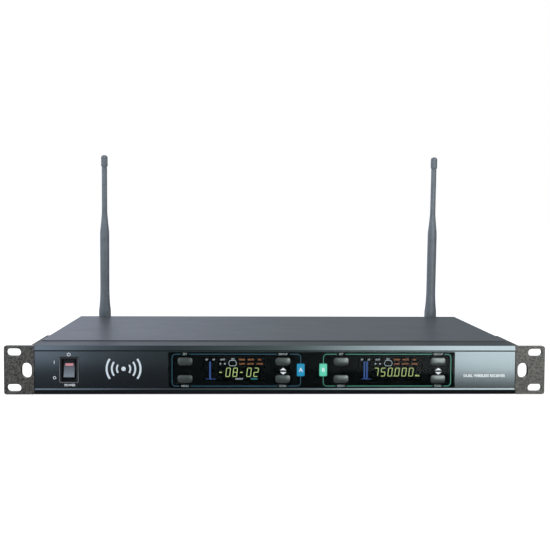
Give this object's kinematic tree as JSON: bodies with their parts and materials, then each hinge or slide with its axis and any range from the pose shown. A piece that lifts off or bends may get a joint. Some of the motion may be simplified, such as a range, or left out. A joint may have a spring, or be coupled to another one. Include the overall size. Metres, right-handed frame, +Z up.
{
  "type": "wireless receiver unit",
  "caption": "One-unit rack-mount dual-channel wireless microphone receiver with slotted rack ears, a smoked display window with keys, a power rocker and folding rear whip antennas.",
  "frame": {"origin": "middle of the case's flat underside, where the unit rests", "axes": "+X to the right seen from the front, +Y to the rear, +Z up"},
  "size_m": [0.4826, 0.2959, 0.2287],
  "materials": {
    "case_paint": "satin blue-grey powder coat",
    "fascia_metal": "satin anodised dark silver",
    "ear_casting": "fine textured dark grey-brown paint on a casting",
    "screw_steel": "blackened",
    "smoked_lens": "polished smoked lens",
    "tube_glass": "dark vacuum display glass",
    "circuit_board": "solder mask green",
    "tab_blue": "lit blue light guide",
    "tab_green": "lit green light guide",
    "button_plastic": "satin dark grey",
    "rocker_plastic": "satin grey",
    "switch_plastic": "black",
    "antenna_rubber": "matt blue-grey",
    "plated_metal": "nickel plated",
    "connector_plastic": "black moulded",
    "shield_tin": "tinned",
    "transformer_steel": "varnished laminations",
    "ribbon_grey": "flat grey",
    "lead_sheath": "black",
    "fuse_glass": "clear with end caps"
  },
  "bodies": {
    "case": {"chassis_tray": "case_paint", "top_cover": "case_paint", "rear_panel": "case_paint", "front_panel": "fascia_metal", "rack_ear_left": "ear_casting", "rack_ear_right": "ear_casting", "ear_screw_left_front": "screw_steel", "ear_screw_left_rear": "screw_steel", "ear_screw_right_front": "screw_steel", "ear_screw_right_rear": "screw_steel", "cover_screw_left": "screw_steel", "cover_screw_right": "screw_steel", "display_window": "smoked_lens", "display_board": "circuit_board", "display_tube_a": "tube_glass", "display_tube_b": "tube_glass", "channel_tab_a": "tab_blue", "channel_tab_b": "tab_green", "power_switch_housing": "switch_plastic", "antenna_socket_left": "plated_metal", "antenna_socket_right": "plated_metal", "xlr_output_a": "connector_plastic", "xlr_output_b": "connector_plastic", "jack_output_a": "connector_plastic", "jack_output_b": "connector_plastic", "level_switch_a": "plated_metal", "level_switch_b": "plated_metal", "mains_inlet": "connector_plastic", "data_port": "connector_plastic", "main_board": "circuit_board", "power_supply_board": "circuit_board", "mains_transformer": "transformer_steel", "rf_shield_a": "shield_tin", "rf_shield_b": "shield_tin", "ribbon_cable": "ribbon_grey", "mains_lead": "lead_sheath"},
    "power_rocker": {"power_rocker": "rocker_plastic"},
    "button_a_outer_upper": {"button_a_outer_upper": "button_plastic"},
    "button_a_outer_lower": {"button_a_outer_lower": "button_plastic"},
    "button_a_inner_upper": {"button_a_inner_upper": "button_plastic"},
    "button_a_inner_lower": {"button_a_inner_lower": "button_plastic"},
    "button_b_outer_upper": {"button_b_outer_upper": "button_plastic"},
    "button_b_outer_lower": {"button_b_outer_lower": "button_plastic"},
    "button_b_inner_upper": {"button_b_inner_upper": "button_plastic"},
    "button_b_inner_lower": {"button_b_inner_lower": "button_plastic"},
    "antenna_nut_left": {"antenna_nut_left": "plated_metal"},
    "antenna_elbow_left": {"antenna_elbow_left": "antenna_rubber", "antenna_pin_left": "plated_metal"},
    "antenna_whip_left": {"antenna_whip_left": "antenna_rubber", "antenna_cap_left": "antenna_rubber"},
    "antenna_nut_right": {"antenna_nut_right": "plated_metal"},
    "antenna_elbow_right": {"antenna_elbow_right": "antenna_rubber", "antenna_pin_right": "plated_metal"},
    "antenna_whip_right": {"antenna_whip_right": "antenna_rubber", "antenna_cap_right": "antenna_rubber"},
    "fuse_drawer": {"fuse_drawer": "connector_plastic", "mains_fuse": "fuse_glass"},
    "level_slider_a": {"level_slider_a": "switch_plastic"},
    "level_slider_b": {"level_slider_b": "switch_plastic"}
  },
  "joints": [
    {"name": "power_rocker_tilt", "type": "hinge", "parent": "case", "child": "power_rocker", "pos_m": [-0.1842, -0.1288, 0.0227], "axis": [1, 0, 0], "range_deg": [0, 18]},
    {"name": "button_a_outer_upper_press", "type": "slide", "parent": "case", "child": "button_a_outer_upper", "axis": [0, 1, 0], "range_m": [0, 0.0008], "stiffness_N_per_m": 1500},
    {"name": "button_a_outer_lower_press", "type": "slide", "parent": "case", "child": "button_a_outer_lower", "axis": [0, 1, 0], "range_m": [0, 0.0008], "stiffness_N_per_m": 1500},
    {"name": "button_a_inner_upper_press", "type": "slide", "parent": "case", "child": "button_a_inner_upper", "axis": [0, 1, 0], "range_m": [0, 0.0008], "stiffness_N_per_m": 1500},
    {"name": "button_a_inner_lower_press", "type": "slide", "parent": "case", "child": "button_a_inner_lower", "axis": [0, 1, 0], "range_m": [0, 0.0008], "stiffness_N_per_m": 1500},
    {"name": "button_b_outer_upper_press", "type": "slide", "parent": "case", "child": "button_b_outer_upper", "axis": [0, 1, 0], "range_m": [0, 0.0008], "stiffness_N_per_m": 1500},
    {"name": "button_b_outer_lower_press", "type": "slide", "parent": "case", "child": "button_b_outer_lower", "axis": [0, 1, 0], "range_m": [0, 0.0008], "stiffness_N_per_m": 1500},
    {"name": "button_b_inner_upper_press", "type": "slide", "parent": "case", "child": "button_b_inner_upper", "axis": [0, 1, 0], "range_m": [0, 0.0008], "stiffness_N_per_m": 1500},
    {"name": "button_b_inner_lower_press", "type": "slide", "parent": "case", "child": "button_b_inner_lower", "axis": [0, 1, 0], "range_m": [0, 0.0008], "stiffness_N_per_m": 1500},
    {"name": "antenna_nut_turn_left", "type": "hinge", "parent": "case", "child": "antenna_nut_left", "pos_m": [-0.1896, 0.135, 0.0219], "axis": [0, 1, 0], "range_deg": [0, 1530]},
    {"name": "antenna_swivel_left", "type": "hinge", "parent": "case", "child": "antenna_elbow_left", "pos_m": [-0.1896, 0.135, 0.0219], "axis": [0, 1, 0], "range_deg": [-90, 90]},
    {"name": "antenna_fold_left", "type": "hinge", "parent": "antenna_elbow_left", "child": "antenna_whip_left", "pos_m": [-0.1896, 0.1535, 0.0219], "axis": [1, 0, 0], "range_deg": [-90, 0]},
    {"name": "antenna_nut_turn_right", "type": "hinge", "parent": "case", "child": "antenna_nut_right", "pos_m": [0.1896, 0.135, 0.0219], "axis": [0, 1, 0], "range_deg": [0, 1530]},
    {"name": "antenna_swivel_right", "type": "hinge", "parent": "case", "child": "antenna_elbow_right", "pos_m": [0.1896, 0.135, 0.0219], "axis": [0, 1, 0], "range_deg": [-90, 90]},
    {"name": "antenna_fold_right", "type": "hinge", "parent": "antenna_elbow_right", "child": "antenna_whip_right", "pos_m": [0.1896, 0.1535, 0.0219], "axis": [0.9999, 0, -0.0122], "range_deg": [-90, 0]},
    {"name": "fuse_drawer_pull", "type": "slide", "parent": "case", "child": "fuse_drawer", "axis": [0, 1, 0], "range_m": [0, 0.02]},
    {"name": "level_slider_a_shift", "type": "slide", "parent": "case", "child": "level_slider_a", "axis": [1, 0, 0], "range_m": [0, 0.004]},
    {"name": "level_slider_b_shift", "type": "slide", "parent": "case", "child": "level_slider_b", "axis": [1, 0, 0], "range_m": [0, 0.004]}
  ]
}
